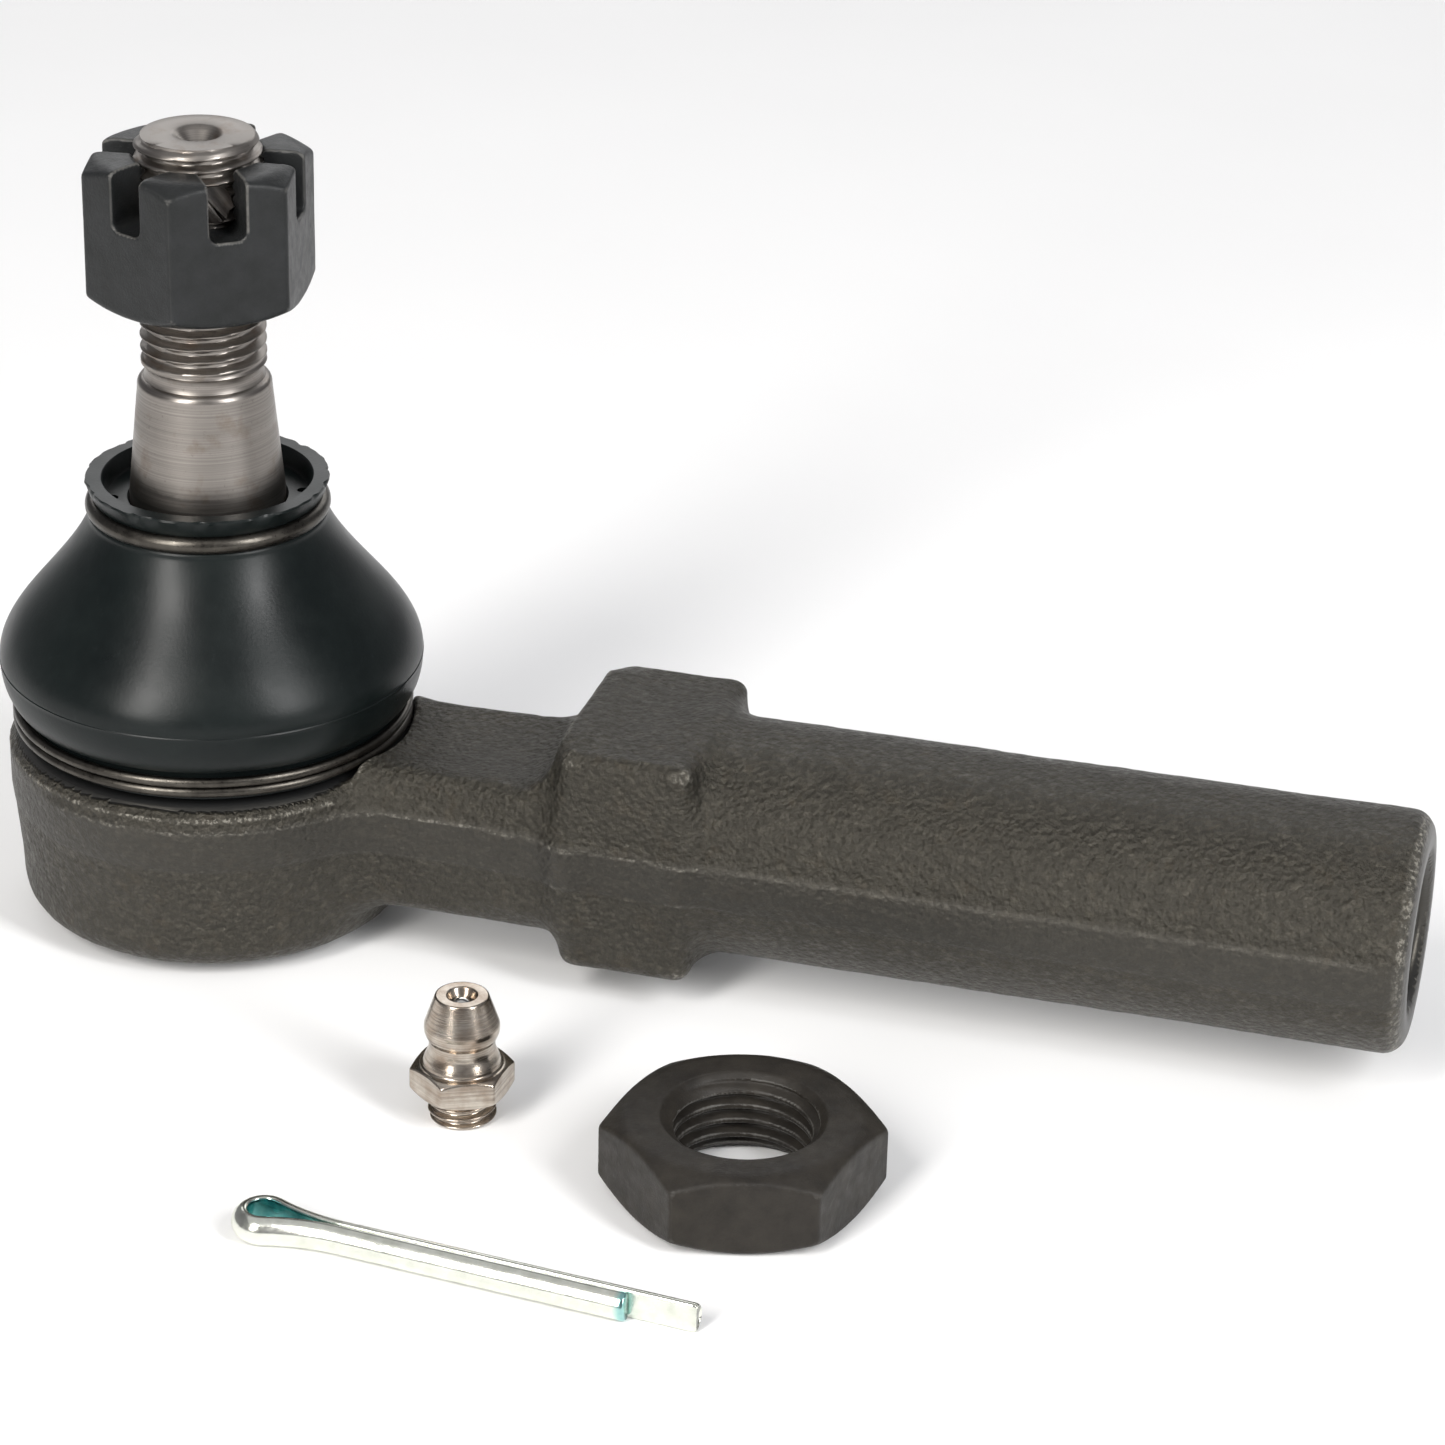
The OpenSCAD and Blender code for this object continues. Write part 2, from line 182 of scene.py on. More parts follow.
def noise(points, cell, seed):
    """Smooth noise from -1 to 1 at (n, 3) points, with features of the given size."""
    if seed not in _noise_tables:
        rng = np.random.default_rng(seed)
        _noise_tables[seed] = rng.uniform(-1, 1, (NOISE_CELLS,) * 3)
    table = _noise_tables[seed]
    u = points / cell
    base = np.floor(u).astype(int)
    f = u - base
    f = f * f * (3 - 2 * f)
    total = 0
    for corner in itertools.product((0, 1), repeat=3):
        index = (base + np.array(corner)) % NOISE_CELLS
        weight = np.prod(np.where(np.array(corner) == 1, f, 1 - f), axis=1)
        total = total + weight * table[index[:, 0], index[:, 1], index[:, 2]]
    return total


def gradient(field, p, h=0.02):
    out = np.empty_like(p)
    for axis in range(3):
        step = np.zeros(3)
        step[axis] = h
        ahead, behind = p + step, p - step
        out[:, axis] = field(*ahead.T) - field(*behind.T)
    return out / np.maximum(np.linalg.norm(out, axis=1, keepdims=True), 1e-9)


def surface_net(field, low, high, step):
    """Quads round the inside of a distance field: one vertex in each cell that the surface crosses."""
    axes = [np.arange(a, b + step, step) for a, b in zip(low, high)]
    values = field(*np.meshgrid(*axes, indexing="ij"))
    inside = values < 0
    cells = tuple(n - 1 for n in values.shape)
    count = np.zeros(cells, np.int8)
    for c in itertools.product((0, 1), repeat=3):
        count += inside[tuple(slice(o, o + n) for o, n in zip(c, cells))]
    active = (count > 0) & (count < 8)
    index = np.argwhere(active)
    total = np.zeros((len(index), 3))
    crossings = np.zeros(len(index))
    for axis in range(3):
        for p, q in itertools.product((0, 1), repeat=2):
            start = np.zeros(3, int)
            start[(axis + 1) % 3], start[(axis + 2) % 3] = p, q
            end = start.copy()
            end[axis] = 1
            va = values[tuple((index + start).T)]
            vb = values[tuple((index + end).T)]
            cross = (va < 0) != (vb < 0)
            t = np.where(cross, va / np.where(cross, va - vb, 1), 0)
            total[cross] += start + t[cross, None] * (end - start)
            crossings += cross
    points = np.array(low) + (index + total / crossings[:, None]) * step
    cell_id = np.full(cells, -1)
    cell_id[active] = np.arange(len(index))
    quads = []
    for axis in range(3):
        first, second = (axis + 1) % 3, (axis + 2) % 3
        below = np.take(inside, range(cells[axis]), axis)
        above = np.take(inside, range(1, cells[axis] + 1), axis)
        edges = np.argwhere(below != above)
        keep = (edges[:, first] > 0) & (edges[:, first] < cells[first])
        keep &= (edges[:, second] > 0) & (edges[:, second] < cells[second])
        edges = edges[keep]
        corners = []
        for a, b in ((-1, -1), (0, -1), (0, 0), (-1, 0)):
            cell = edges.copy()
            cell[:, first] += a
            cell[:, second] += b
            corners.append(cell_id[tuple(cell.T)])
        quad = np.stack(corners, 1)
        turned = ~below[tuple(edges.T)]
        quad[turned] = quad[turned, ::-1]
        quads.append(quad)
    return points, np.concatenate(quads)


def settle(field, points, step, rounds=3):
    """Moves the vertices onto the field's surface."""
    for _ in range(rounds):
        move = np.clip(field(*points.T), -step / 2, step / 2)
        points = points - move[:, None] * gradient(field, points)
    return points


def convexity(points, quads, normals):
    """How far each vertex stands out from its neighbours, in millimetres."""
    total = np.zeros_like(points)
    count = np.zeros(len(points))
    for a, b in ((0, 1), (1, 2), (2, 3), (3, 0)):
        np.add.at(total, quads[:, a], points[quads[:, b]])
        np.add.at(total, quads[:, b], points[quads[:, a]])
        np.add.at(count, quads[:, a], 1)
        np.add.at(count, quads[:, b], 1)
    mean = total / np.maximum(count, 1)[:, None]
    return np.einsum("ij,ij->i", points - mean, normals)


def new_piece(name, points, faces, material, body, replaces=(), slot=None, **attributes):
    """A shaded mesh object that rides on a CAD body. Points are in millimetres."""
    mesh = bpy.data.meshes.new(name)
    mesh.from_pydata((np.asarray(points) * MM).tolist(), [], [list(map(int, f)) for f in faces])
    for key, values in attributes.items():
        data = mesh.attributes.new(key, "FLOAT", "POINT").data
        data.foreach_set("value", np.asarray(values, np.float32))
    mesh.polygons.foreach_set("use_smooth", np.ones(len(mesh.polygons), bool))
    mesh.materials.append(material)
    mesh.validate()
    mesh.update()
    solid = bmesh.new()
    solid.from_mesh(mesh)
    if solid.calc_volume(signed=True) < 0:
        mesh.flip_normals()
    solid.free()
    piece = bpy.data.objects.new(name, mesh)
    bpy.context.scene.collection.objects.link(piece)
    if body:
        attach(piece, body)
    if replaces:
        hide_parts(*replaces)
    return piece


def field_piece(name, field, low, high, step, material, body, displace=None, **options):
    """Meshes a distance field, and gives the mesh a wear attribute that is high on its edges."""
    points, quads = surface_net(field, low, high, step)
    points = settle(field, points, step)
    normals = gradient(field, points)
    wear = convexity(points, quads, normals) / step**2
    if displace:
        points = points + displace(points)[:, None] * normals
    return new_piece(name, points, quads, material, body, wear=wear, **options)


def lathe(profile, turns, radius_at=None, closed=False):
    """Turns an outline of (r, z) points about Z. radius_at(r, z, angle) may vary the radius."""
    profile = np.array(profile, float)
    angles = np.linspace(0, 2 * math.pi, turns, endpoint=False)
    r = np.repeat(profile[:, :1], turns, 1)
    z = np.repeat(profile[:, 1:], turns, 1)
    a = np.repeat(angles[None], len(profile), 0)
    if radius_at is not None:
        r = radius_at(r, z, a)
    points = np.stack([r * np.cos(a), r * np.sin(a), z], -1).reshape(-1, 3)
    rows = len(profile)
    faces = []
    last = rows if closed else rows - 1
    for i in range(last):
        j = (i + 1) % rows
        for k in range(turns):
            m = (k + 1) % turns
            faces.append((i * turns + k, i * turns + m, j * turns + m, j * turns + k))
    return points, faces


def close_poles(points, faces, turns):
    """Adds a vertex on the axis at each end of an open lathe, and the triangles round it."""
    points = np.vstack([points, [[0, 0, points[0, 2]]], [[0, 0, points[-1, 2]]]])
    first, last = len(points) - 2, len(points) - 1
    start = len(points) - 2 - turns
    for k in range(turns):
        m = (k + 1) % turns
        faces.append((first, m, k))
        faces.append((last, start + k, start + m))
    return points, faces


def thread_depth(z, angle, pitch):
    """0 on a right-hand thread's crests, and its depth at the roots."""
    phase = (z / pitch - angle / (2 * math.pi)) % 1
    off_crest = np.abs(phase - 0.5) * 2
    return 0.6134 * pitch * np.clip((off_crest - 0.125) / 0.625, 0, 1)


# ---------------------------------------------------------------- materials


class Nodes:
    """Builds one node material, with short ways to add and link its nodes."""

    def __init__(self, name):
        self.material = bpy.data.materials.new(name)
        self.material.use_nodes = True
        self.tree = self.material.node_tree
        self.shader = self.tree.nodes["Principled BSDF"]
        coords = self.tree.nodes.new("ShaderNodeTexCoord")
        self.position = coords.outputs["Object"]

    def link(self, source, target):
        self.tree.links.new(source, target)

    def noise_over(self, vector, scale, detail, roughness):
        node = self.tree.nodes.new("ShaderNodeTexNoise")
        node.inputs["Scale"].default_value = scale
        node.inputs["Detail"].default_value = detail
        node.inputs["Roughness"].default_value = roughness
        self.link(vector, node.inputs["Vector"])
        return node.outputs["Fac"]

    def noise(self, feature_mm, detail=3.0, roughness=0.55):
        """Noise with features of about the given size."""
        return self.noise_over(self.position, 1 / (feature_mm * MM), detail, roughness)

    def streaks(self, per_metre, detail, roughness):
        """Noise with its own number of features per metre along each axis."""
        node = self.tree.nodes.new("ShaderNodeMapping")
        node.inputs["Scale"].default_value = per_metre
        self.link(self.position, node.inputs["Vector"])
        return self.noise_over(node.outputs["Vector"], 1, detail, roughness)

    def pebbles(self, feature_mm):
        node = self.tree.nodes.new("ShaderNodeTexVoronoi")
        node.feature = "SMOOTH_F1"
        node.inputs["Scale"].default_value = 1 / (feature_mm * MM)
        self.link(self.position, node.inputs["Vector"])
        return node.outputs["Distance"]

    def ramp(self, source, *stops):
        """A colour ramp. Each stop is (place, grey) or (place, (r, g, b))."""
        node = self.tree.nodes.new("ShaderNodeValToRGB")
        elements = node.color_ramp.elements
        while len(elements) < len(stops):
            elements.new(0.5)
        for element, (place, colour) in zip(elements, stops):
            if not isinstance(colour, tuple):
                colour = (colour,) * 3
            element.position = place
            element.color = (*colour, 1)
        self.link(source, node.inputs["Fac"])
        return node.outputs["Color"]

    def mix(self, factor, a, b, blend="MIX"):
        node = self.tree.nodes.new("ShaderNodeMix")
        node.data_type = "RGBA"
        node.blend_type = blend
        for key, value in (("Factor", factor), ("A", a), ("B", b)):
            socket = [s for s in node.inputs if s.name == key and s.enabled][0]
            if isinstance(value, bpy.types.NodeSocket):
                self.link(value, socket)
            elif isinstance(value, tuple):
                socket.default_value = (*value, 1)
            else:
                socket.default_value = value
        return [s for s in node.outputs if s.enabled][0]

    def math(self, operation, a, b):
        node = self.tree.nodes.new("ShaderNodeMath")
        node.operation = operation
        for socket, value in zip(node.inputs, (a, b)):
            if isinstance(value, bpy.types.NodeSocket):
                self.link(value, socket)
            else:
                socket.default_value = value
        return node.outputs["Value"]

    def attribute(self, name):
        node = self.tree.nodes.new("ShaderNodeAttribute")
        node.attribute_name = name
        return node.outputs["Fac"]

    def bump(self, height, depth_mm, strength=1.0):
        node = self.tree.nodes.new("ShaderNodeBump")
        node.inputs["Strength"].default_value = strength
        node.inputs["Distance"].default_value = depth_mm * MM
        self.link(height, node.inputs["Height"])
        return node.outputs["Normal"]

    def finish(self, colour, roughness, normal=None, metallic=0.0, **fixed):
        self.link(colour, self.shader.inputs["Base Color"])
        self.link(roughness, self.shader.inputs["Roughness"])
        self.shader.inputs["Metallic"].default_value = metallic
        if normal is not None:
            self.link(normal, self.shader.inputs["Normal"])
        for key, value in fixed.items():
            self.shader.inputs[key.replace("_", " ")].default_value = value
        return self.material


def forged_steel():
    """Dark phosphated forging: pebbly grain, satin, rubbed bright along its edges."""
    n = Nodes("forged_steel")
    grain = n.pebbles(0.55)
    fine = n.noise(0.28, 4, 0.65)
    blotches = n.noise(7, 4, 0.6)
    rust = n.noise(2.6, 5, 0.7)
    specks = n.noise(0.8, 5, 0.7)
    base = n.ramp(blotches, (0.3, (0.0095, 0.0088, 0.0068)), (0.7, (0.0155, 0.0145, 0.0112)))
    base = n.mix(n.ramp(fine, (0.42, 0.65), (0.60, 0.0)), base, (0.004, 0.004, 0.003))
    base = n.mix(n.ramp(specks, (0.5, 0.0), (0.72, 0.6)), base, (0.060, 0.054, 0.042))
    base = n.mix(n.ramp(rust, (0.56, 0.0), (0.75, 0.30)), base, (0.045, 0.029, 0.013))
    worn = n.ramp(n.attribute("wear"), (0.11, 0.0), (0.30, 1.0))
    chips = n.ramp(n.noise(0.45, 4, 0.7), (0.50, 0.08), (0.60, 1.0))
    base = n.mix(n.math("MULTIPLY", worn, chips), base, (0.20, 0.19, 0.165))
    machined = n.attribute("machined")
    base = n.mix(machined, base, (0.013, 0.0135, 0.014))
    forged_rough = n.ramp(specks, (0.35, 0.54), (0.7, 0.28))
    rough = n.mix(machined, forged_rough, (0.36, 0.36, 0.36))
    forged_height = n.math("ADD", n.math("MULTIPLY", grain, 1.2), n.math("MULTIPLY", fine, 0.9))
    height = n.math("MULTIPLY", forged_height, n.math("SUBTRACT", 1.0, machined))
    tool_marks = n.streaks((50, 50, 6000), 2, 0.5)
    height = n.math("ADD", height, n.math("MULTIPLY", machined, n.math("MULTIPLY", tool_marks, 0.1)))
    warm = (1.0, 0.93, 0.80, 1.0)
    return n.finish(base, rough, n.bump(height, 0.24, 1.0), 0.0, Specular_IOR_Level=0.6, Specular_Tint=warm)


def black_oxide(name, dark, light, rough_low, rough_high):
    """A nut with a black finish over a fine, sandy grain."""
    n = Nodes(name)
    blotches = n.noise(3, 5, 0.65)
    dust = n.noise(0.22, 4, 0.7)
    sand = n.noise(0.5, 4, 0.7)
    base = n.ramp(blotches, (0.3, dark), (0.72, light))
    rubbed = n.math("MULTIPLY", n.ramp(n.attribute("wear"), (0.35, 0.0), (0.95, 1.0)), sand)
    base = n.mix(rubbed, base, (0.15, 0.145, 0.135))
    rough = n.ramp(n.noise(1.2, 4), (0.3, rough_high), (0.7, rough_low))
    height = n.math("ADD", dust, n.math("MULTIPLY", n.noise(1.1, 3), 1.2))
    return n.finish(base, rough, n.bump(height, 0.04, 1.0), 0.0, Specular_IOR_Level=0.24)


def turned_steel():
    """Bare turned steel, with fine marks round the axis and a few brown stains."""
    n = Nodes("turned_steel")
    marks = n.streaks((40, 40, 7000), 3, 0.6)
    wide_marks = n.streaks((60, 60, 900), 3, 0.6)
    stains = n.noise(3.2, 4, 0.6)
    specks = n.noise(0.6, 5, 0.75)
    base = n.ramp(marks, (0.3, (0.20, 0.183, 0.168)), (0.7, (0.30, 0.277, 0.254)))
    base = n.mix(n.ramp(specks, (0.60, 0.0), (0.72, 0.5)), base, (0.10, 0.085, 0.07))
    base = n.mix(n.ramp(stains, (0.55, 0.0), (0.74, 0.6)), base, (0.15, 0.10, 0.065))
    rough = n.ramp(wide_marks, (0.3, 0.44), (0.7, 0.30))
    height = n.math("ADD", marks, n.math("MULTIPLY", wide_marks, 1.5))
    return n.finish(base, rough, n.bump(height, 0.012, 0.8), 1.0)


def boot_rubber():
    """Black moulded rubber: satin, slightly blue, with faint scuffs."""
    n = Nodes("boot_rubber")
    cloud = n.noise(8, 4, 0.6)
    fine = n.noise(0.35, 3, 0.6)
    scuffs = n.streaks((900, 900, 300), 5, 0.7)
    base = n.ramp(cloud, (0.3, (0.0030, 0.0048, 0.0050)), (0.7, (0.0060, 0.0090, 0.0088)))
    base = n.mix(n.ramp(scuffs, (0.62, 0.0), (0.8, 0.35)), base, (0.022, 0.026, 0.027))
    rough = n.ramp(cloud, (0.3, 0.27), (0.7, 0.38))
    return n.finish(base, rough, n.bump(fine, 0.014, 0.7), 0.0, Specular_IOR_Level=0.22)


def plain_metal(name, dark, light, rough_low, rough_high, feature_mm=2.0, depth_mm=0.01):
    """Bare or plated metal with small changes of colour and gloss."""
    n = Nodes(name)
    cloud = n.noise(feature_mm, 4, 0.6)
    fine = n.noise(feature_mm / 8, 3, 0.6)
    base = n.ramp(cloud, (0.3, dark), (0.7, light))
    rough = n.ramp(fine, (0.3, rough_low), (0.7, rough_high))
    return n.finish(base, rough, n.bump(fine, depth_mm, 0.5), 1.0)


def bright_nickel():
    """Nickel plate over turned steel, a little yellow and pink in places."""
    n = Nodes("bright_nickel")
    rings = n.streaks((30, 30, 5200), 3, 0.7)
    cloud = n.noise(1.8, 4, 0.6)
    base = n.ramp(cloud, (0.3, (0.34, 0.27, 0.21)), (0.7, (0.62, 0.57, 0.50)))
    base = n.mix(n.ramp(rings, (0.45, 0.0), (0.62, 0.55)), base, (0.20, 0.165, 0.14))
    rough = n.ramp(rings, (0.3, 0.16), (0.7, 0.30))
    return n.finish(base, rough, n.bump(rings, 0.012, 0.8), 1.0)


def zinc_plate():
    """Bright zinc with a blue-green passivation on the wire's flat face inside the eye."""
    n = Nodes("zinc_plate")
    cloud = n.noise(1.5, 4, 0.6)
    outer = n.ramp(cloud, (0.3, (0.66, 0.68, 0.60)), (0.7, (0.84, 0.85, 0.78)))
    inner = n.ramp(cloud, (0.3, (0.12, 0.42, 0.44)), (0.7, (0.34, 0.66, 0.62)))
    base = n.mix(n.attribute("inner_face"), outer, inner)
    rough = n.ramp(n.noise(0.4, 3), (0.3, 0.14), (0.7, 0.26))
    return n.finish(base, rough, n.bump(n.noise(0.5, 3), 0.01, 0.6), 1.0)


def bearing_plastic():
    """Off-white moulded acetal."""
    n = Nodes("bearing_plastic")
    cloud = n.noise(4, 3)
    base = n.ramp(cloud, (0.3, (0.62, 0.59, 0.50)), (0.7, (0.72, 0.69, 0.60)))
    rough = n.ramp(n.noise(0.5, 3), (0.3, 0.42), (0.7, 0.55))
    return n.finish(base, rough, n.bump(cloud, 0.01, 0.5))


FORGED = forged_steel()
TURNED = turned_steel()
RUBBER = boot_rubber()
CASTLE_STEEL = black_oxide("castle_black_oxide", (0.010, 0.011, 0.011), (0.018, 0.019, 0.020), 0.30, 0.42)
JAM_STEEL = black_oxide("jam_phosphate", (0.014, 0.012, 0.010), (0.030, 0.026, 0.021), 0.38, 0.55)
RING_STEEL = plain_metal("ring_wire", (0.045, 0.041, 0.036), (0.10, 0.092, 0.080), 0.26, 0.40)
SPRING_STEEL = plain_metal("spring_steel", (0.20, 0.20, 0.21), (0.32, 0.31, 0.31), 0.25, 0.4)
COVER_STEEL = plain_metal("cover_steel", (0.03, 0.029, 0.026), (0.06, 0.056, 0.050), 0.38, 0.5)
NICKEL = bright_nickel()
BALL_STEEL = plain_metal("ball_steel", (0.60, 0.59, 0.57), (0.70, 0.69, 0.67), 0.06, 0.12)
ZINC = zinc_plate()
ACETAL = bearing_plastic()


# ---------------------------------------------------------------- housing

# The socket's section in (radius, z), carried past the axis so that it closes there.
SOCKET_OUTLINE = (
    [(-30, FLOOR_Z), (14.4, FLOOR_Z), (14.9, FLOOR_Z + 0.5), (15.0, FLOOR_Z + 0.9)]
    + [(16.2, FLOOR_Z + 1)]
    + arc_points(16.2, FLOOR_Z + 4, 3, -80, -8, 6)
    + [(SOCKET_R - 0.75, -8), (SOCKET_R - 0.05, -1), (SOCKET_R, 3.1), (SOCKET_R - 1.4, SHOULDER_Z)]
    + [(BOSS_R, SHOULDER_Z), (BOSS_R, BOSS_TOP), (-30, BOSS_TOP)]
)


def neck_field(x, y, z):
    """The bridge to the wrench block: a drafted bar with a shallow trough and a ramp on top.

    The ramp's sides draw in towards its start, so that it leaves no step in the bar's sides.
    """
    trough_r = 30
    crest = NECK_TOP + 0.9
    middle = (crest + NECK_BOTTOM) / 2
    draft = 0.45 * np.maximum(z - 2.0, 0) + 0.12 * np.maximum(-2.4 - z, 0)
    bar = rounded_rect(y, z - middle, NECK_HALF + 0.9 - draft, (crest - NECK_BOTTOM) / 2, 1.8)
    trough = np.hypot(y, z - NECK_TOP - trough_r + 0.3) - trough_r
    bar = smooth_max(bar, -trough, 1.0)
    ramp_r = 8.5
    start = BLOCK_START - ramp_r
    along = np.clip(x - start, 0, ramp_r * 0.97)
    fall = np.sqrt(ramp_r**2 - along**2)
    ramp_top = (z - (NECK_TOP - 1.0 + ramp_r - fall)) * fall / ramp_r
    flare = 1.2 * smooth_step(start + 2, BLOCK_START + 1, x)
    drawn_in = 3 * smooth_step(start + 3, start - 6, x)
    ramp_half = NECK_HALF + 0.7 + flare - drawn_in - 0.28 * np.maximum(z - 2.0, 0)
    ramp = rounded_rect(y, z - 2, ramp_half, SLEEVE_R - 2.0, 1.5)
    ramp = smooth_max(np.maximum(ramp, start - 6 - x), ramp_top, 0.6)
    taper = 3 * smooth_step(BLOCK_START + 1, BLOCK_START + 7, x)
    return np.maximum(smooth_min(bar, ramp, 1.6) + taper, np.maximum(-x, x - BLOCK_END + 1))


def block_field(x, y, z):
    half = (BLOCK_END - BLOCK_START) / 2
    draft = 0.06 * np.maximum(np.abs(z) - 2.4, 0)
    section = rounded_rect(y, z, SLEEVE_R - draft, SLEEVE_R, 1.4)
    ends = np.abs(x - BLOCK_START - half) - half
    return smooth_max(section, ends, 1.9)


def sleeve_field(x, y, z):
    edge = 2.2
    inward = 3 * smooth_step(BLOCK_END - 1, BLOCK_START + 4, x)
    qx = x - (SLEEVE_END - edge)
    qr = np.hypot(y, z) - (SLEEVE_R - inward - edge)
    outside = np.hypot(np.maximum(qx, 0), np.maximum(qr, 0))
    tube = outside + np.minimum(np.maximum(qx, qr), 0) - edge
    return np.maximum(tube, BLOCK_START + 3 - x)


def forging_field(x, y, z):
    """The forged outside, with a trimmed flash band along its parting plane."""
    socket = polygon_field(SOCKET_OUTLINE, np.hypot(x, y), z)
    body = smooth_min(socket, neck_field(x, y, z), 4.0)
    body = smooth_min(body, block_field(x, y, z), 2.6)
    body = smooth_min(body, sleeve_field(x, y, z), 2.2)
    ends = smooth_step(SLEEVE_END - 2, SLEEVE_END - 4, x) * smooth_step(-14, -8, x)
    band = smooth_step(2.35, 1.95, z) * smooth_step(-2.6, -2.3, z)
    return body - (0.22 + 0.04 * z) * band * ends


def housing_field(x, y, z):
    """The forging with its machined shoulder, ball cavity and rod hole."""
    around = np.hypot(x, y)
    along = np.hypot(y, z)
    shoulder = np.maximum(around - SHOULDER_R, SHOULDER_Z - z)
    shoulder = np.maximum(shoulder, BOSS_R - around)
    body = smooth_max(forging_field(x, y, z), -shoulder, 0.9)
    ball = np.sqrt(x * x + y * y + z * z) - CAVITY_R
    cover_bottom = COVER_LOW[2]
    cover_top = cover_bottom + COVER_THICKNESS
    bore = np.maximum(around - CAVITY_R, np.maximum(cover_bottom - z, z))
    seat = np.maximum(around - COVER_SEAT_R, np.maximum(cover_bottom - z, z - cover_top))
    mouth = np.maximum(around - MOUTH_R, z - cover_top)
    cavity = np.minimum(np.minimum(ball, bore), np.minimum(seat, mouth))
    rod_hole = np.maximum(along - ROD_HOLE_R, ROD_HOLE_BOTTOM - x)
    chamfer = np.maximum((along - ROD_HOLE_R - 0.85 + SLEEVE_END - x) * 0.707, SLEEVE_END - 2 - x)
    body = smooth_max(body, -cavity, 0.2)
    return smooth_max(body, -np.minimum(rod_hole, chamfer), 0.25)


def machined_share(p):
    """1 on the surfaces cut after forging, 0 on the forged skin, and between on the flash band."""
    x, y, z = p.T
    around = np.hypot(x, y)
    share = smooth_step(FLOOR_Z + 1.6, FLOOR_Z + 1.0, z)
    share = np.maximum(share, (around < SHOULDER_R - 0.2) * smooth_step(3.3, 3.7, z))
    share = np.maximum(share, smooth_step(SLEEVE_END - 0.5, SLEEVE_END - 0.1, x))
    share = np.maximum(share, (np.hypot(y, z) < ROD_HOLE_R + 0.55) & (x > ROD_HOLE_BOTTOM - 1))
    band = smooth_step(2.5, 1.9, z) * smooth_step(-2.8, -2.3, z) * (around > 17)
    share = np.maximum(share, 0.45 * band)
    return np.maximum(share, np.linalg.norm(p, axis=1) < CAVITY_R + 0.7)


def forging_skin(p):
    """Waviness and pebbled grain of the forged skin, softer on the flash band."""
    skin = 1 - machined_share(p)
    grain = 0.25 + 0.75 * smooth_step(1.6, 2.8, p[:, 2]) + 0.3 * smooth_step(-2.2, -3.2, p[:, 2])
    waves = 0.07 * noise(p, 9.0, 1) + 0.04 * noise(p, 3.4, 2)
    return skin * (waves + grain * (0.025 * noise(p, 1.6, 3) + 0.045 * noise(p, 0.9, 4)) - 0.05)


def make_housing():
    step = 0.42
    low = (-SOCKET_R - 1, -SOCKET_R - 1, FLOOR_Z - 1)
    high = (SLEEVE_END + 1, SOCKET_R + 1, SLEEVE_R + 1)
    points, quads = surface_net(housing_field, low, high, step)
    points = settle(housing_field, points, step)
    normals = gradient(housing_field, points)
    wear = convexity(points, quads, normals) / step**2
    # The rim of the sleeve's end is rubbed too, though it is well rounded.
    wear = wear + 0.3 * smooth_step(SLEEVE_END - 1.4, SLEEVE_END - 0.6, points[:, 0])
    machined = machined_share(points)
    points = points + forging_skin(points)[:, None] * normals
    new_piece("housing_forging", points, quads, FORGED, "housing_body", ["housing"],
              "forged_steel", wear=wear, machined=machined)


def make_rod_thread():
    """The thread inside the sleeve, as a thin shell against the rod hole's wall."""
    start, end = SLEEVE_END - 46, SLEEVE_END - 0.9
    rows = np.arange(start, end, ROD_PITCH / 8)
    inner = [(ROD_HOLE_R - 0.08, z) for z in rows]
    profile = inner + [(ROD_HOLE_R + 0.02, rows[-1]), (ROD_HOLE_R + 0.02, rows[0])]

    def radius_at(r, z, a):
        ridge = 0.92 - thread_depth(z + ROD_PITCH / 2, a, ROD_PITCH)
        ridge = ridge * smooth_step(end, end - 1.2, z) * smooth_step(start, start + 1.2, z)
        return np.where(r < ROD_HOLE_R, r - np.clip(ridge, 0, 0.8), r)

    points, faces = lathe(profile, 72, radius_at, closed=True)
    points = points[:, [2, 0, 1]]
    wear = np.zeros(len(points))
    new_piece("sleeve_thread", points, faces, FORGED, "housing_body", slot="forged_steel",
              wear=wear, machined=np.ones(len(points)))


# ---------------------------------------------------------------- ball joint


